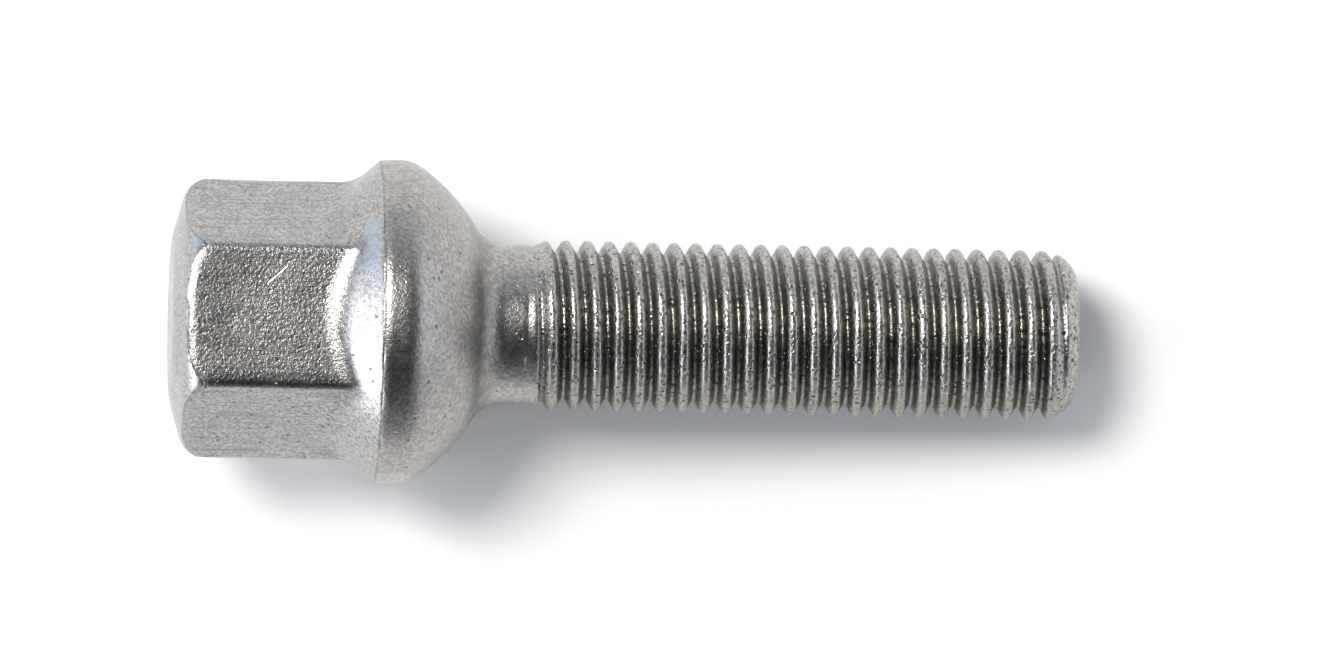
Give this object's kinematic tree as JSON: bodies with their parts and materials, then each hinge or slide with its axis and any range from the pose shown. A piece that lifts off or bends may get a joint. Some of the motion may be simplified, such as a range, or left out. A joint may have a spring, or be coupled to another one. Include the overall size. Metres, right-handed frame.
{
  "type": "wheel bolt",
  "caption": "Wheel bolt with a hexagon head, a round flange with a ball seat, a short plain neck and a fine metric thread with a rounded tip.",
  "frame": {"origin": "the middle of the head's end, on the floor that the bolt stands on", "axes": "+Z along the bolt's axis from the head to the tip, with one flat of the hexagon facing -Y to within 2 degrees"},
  "size_m": [0.0224, 0.0224, 0.0624],
  "materials": {
    "plated_steel": "zinc plated and clear passivated, matte with a fine tumbled grain"
  },
  "bodies": {
    "root": {"wheel_bolt": "plated_steel"}
  },
  "joints": []
}
